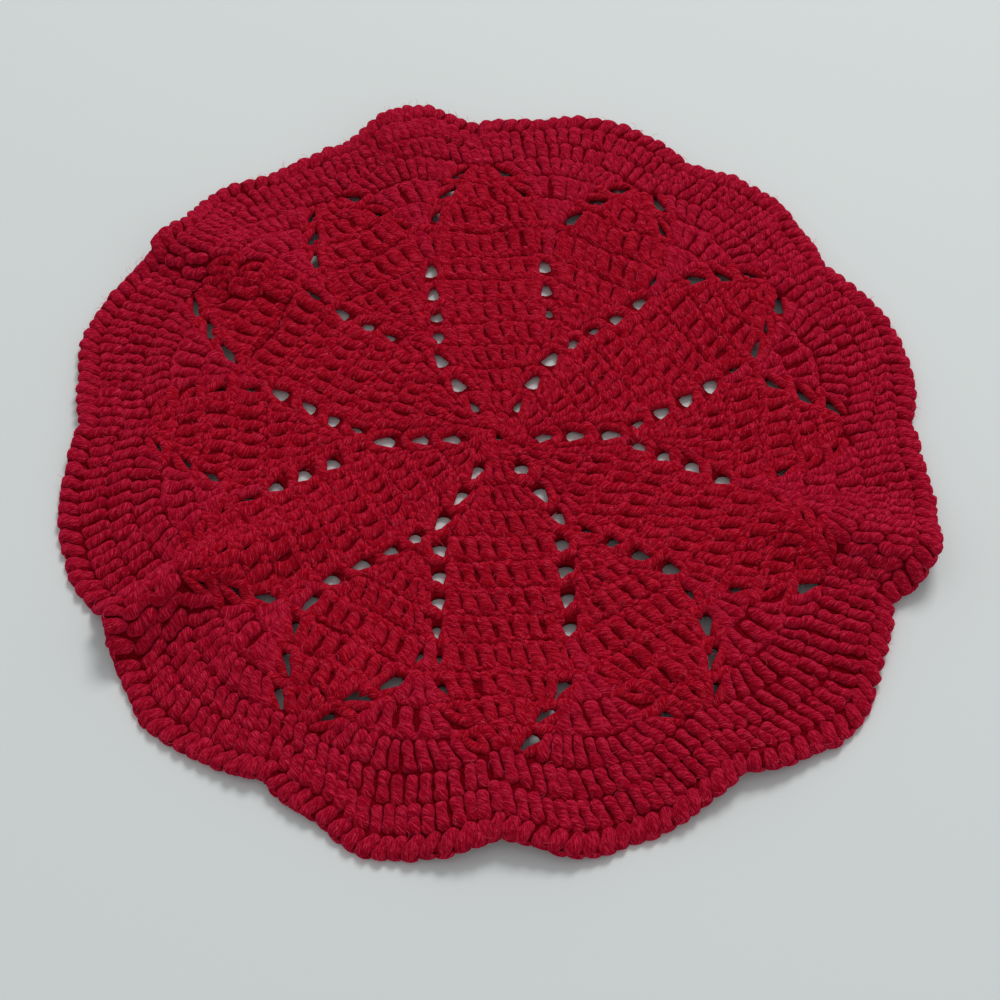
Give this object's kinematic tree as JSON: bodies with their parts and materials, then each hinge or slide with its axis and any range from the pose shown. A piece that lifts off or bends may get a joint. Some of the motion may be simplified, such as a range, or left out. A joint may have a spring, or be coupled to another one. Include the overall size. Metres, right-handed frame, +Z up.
{
  "type": "crochet doily",
  "caption": "Round crochet doily in thick cotton yarn, with a pinwheel of petals outlined by eyelets and a scalloped edge, lying flat.",
  "frame": {"origin": "middle of the starting ring, on the underside that rests on the surface", "axes": "+Z up out of the right side, +X to the right and +Y away from the viewer of the picture"},
  "size_m": [0.2991, 0.3092, 0.015],
  "materials": {
    "cotton_yarn": "matte twisted cotton yarn, crimson red, with soft fuzz"
  },
  "bodies": {
    "root": {"doily": "cotton_yarn"}
  },
  "joints": []
}
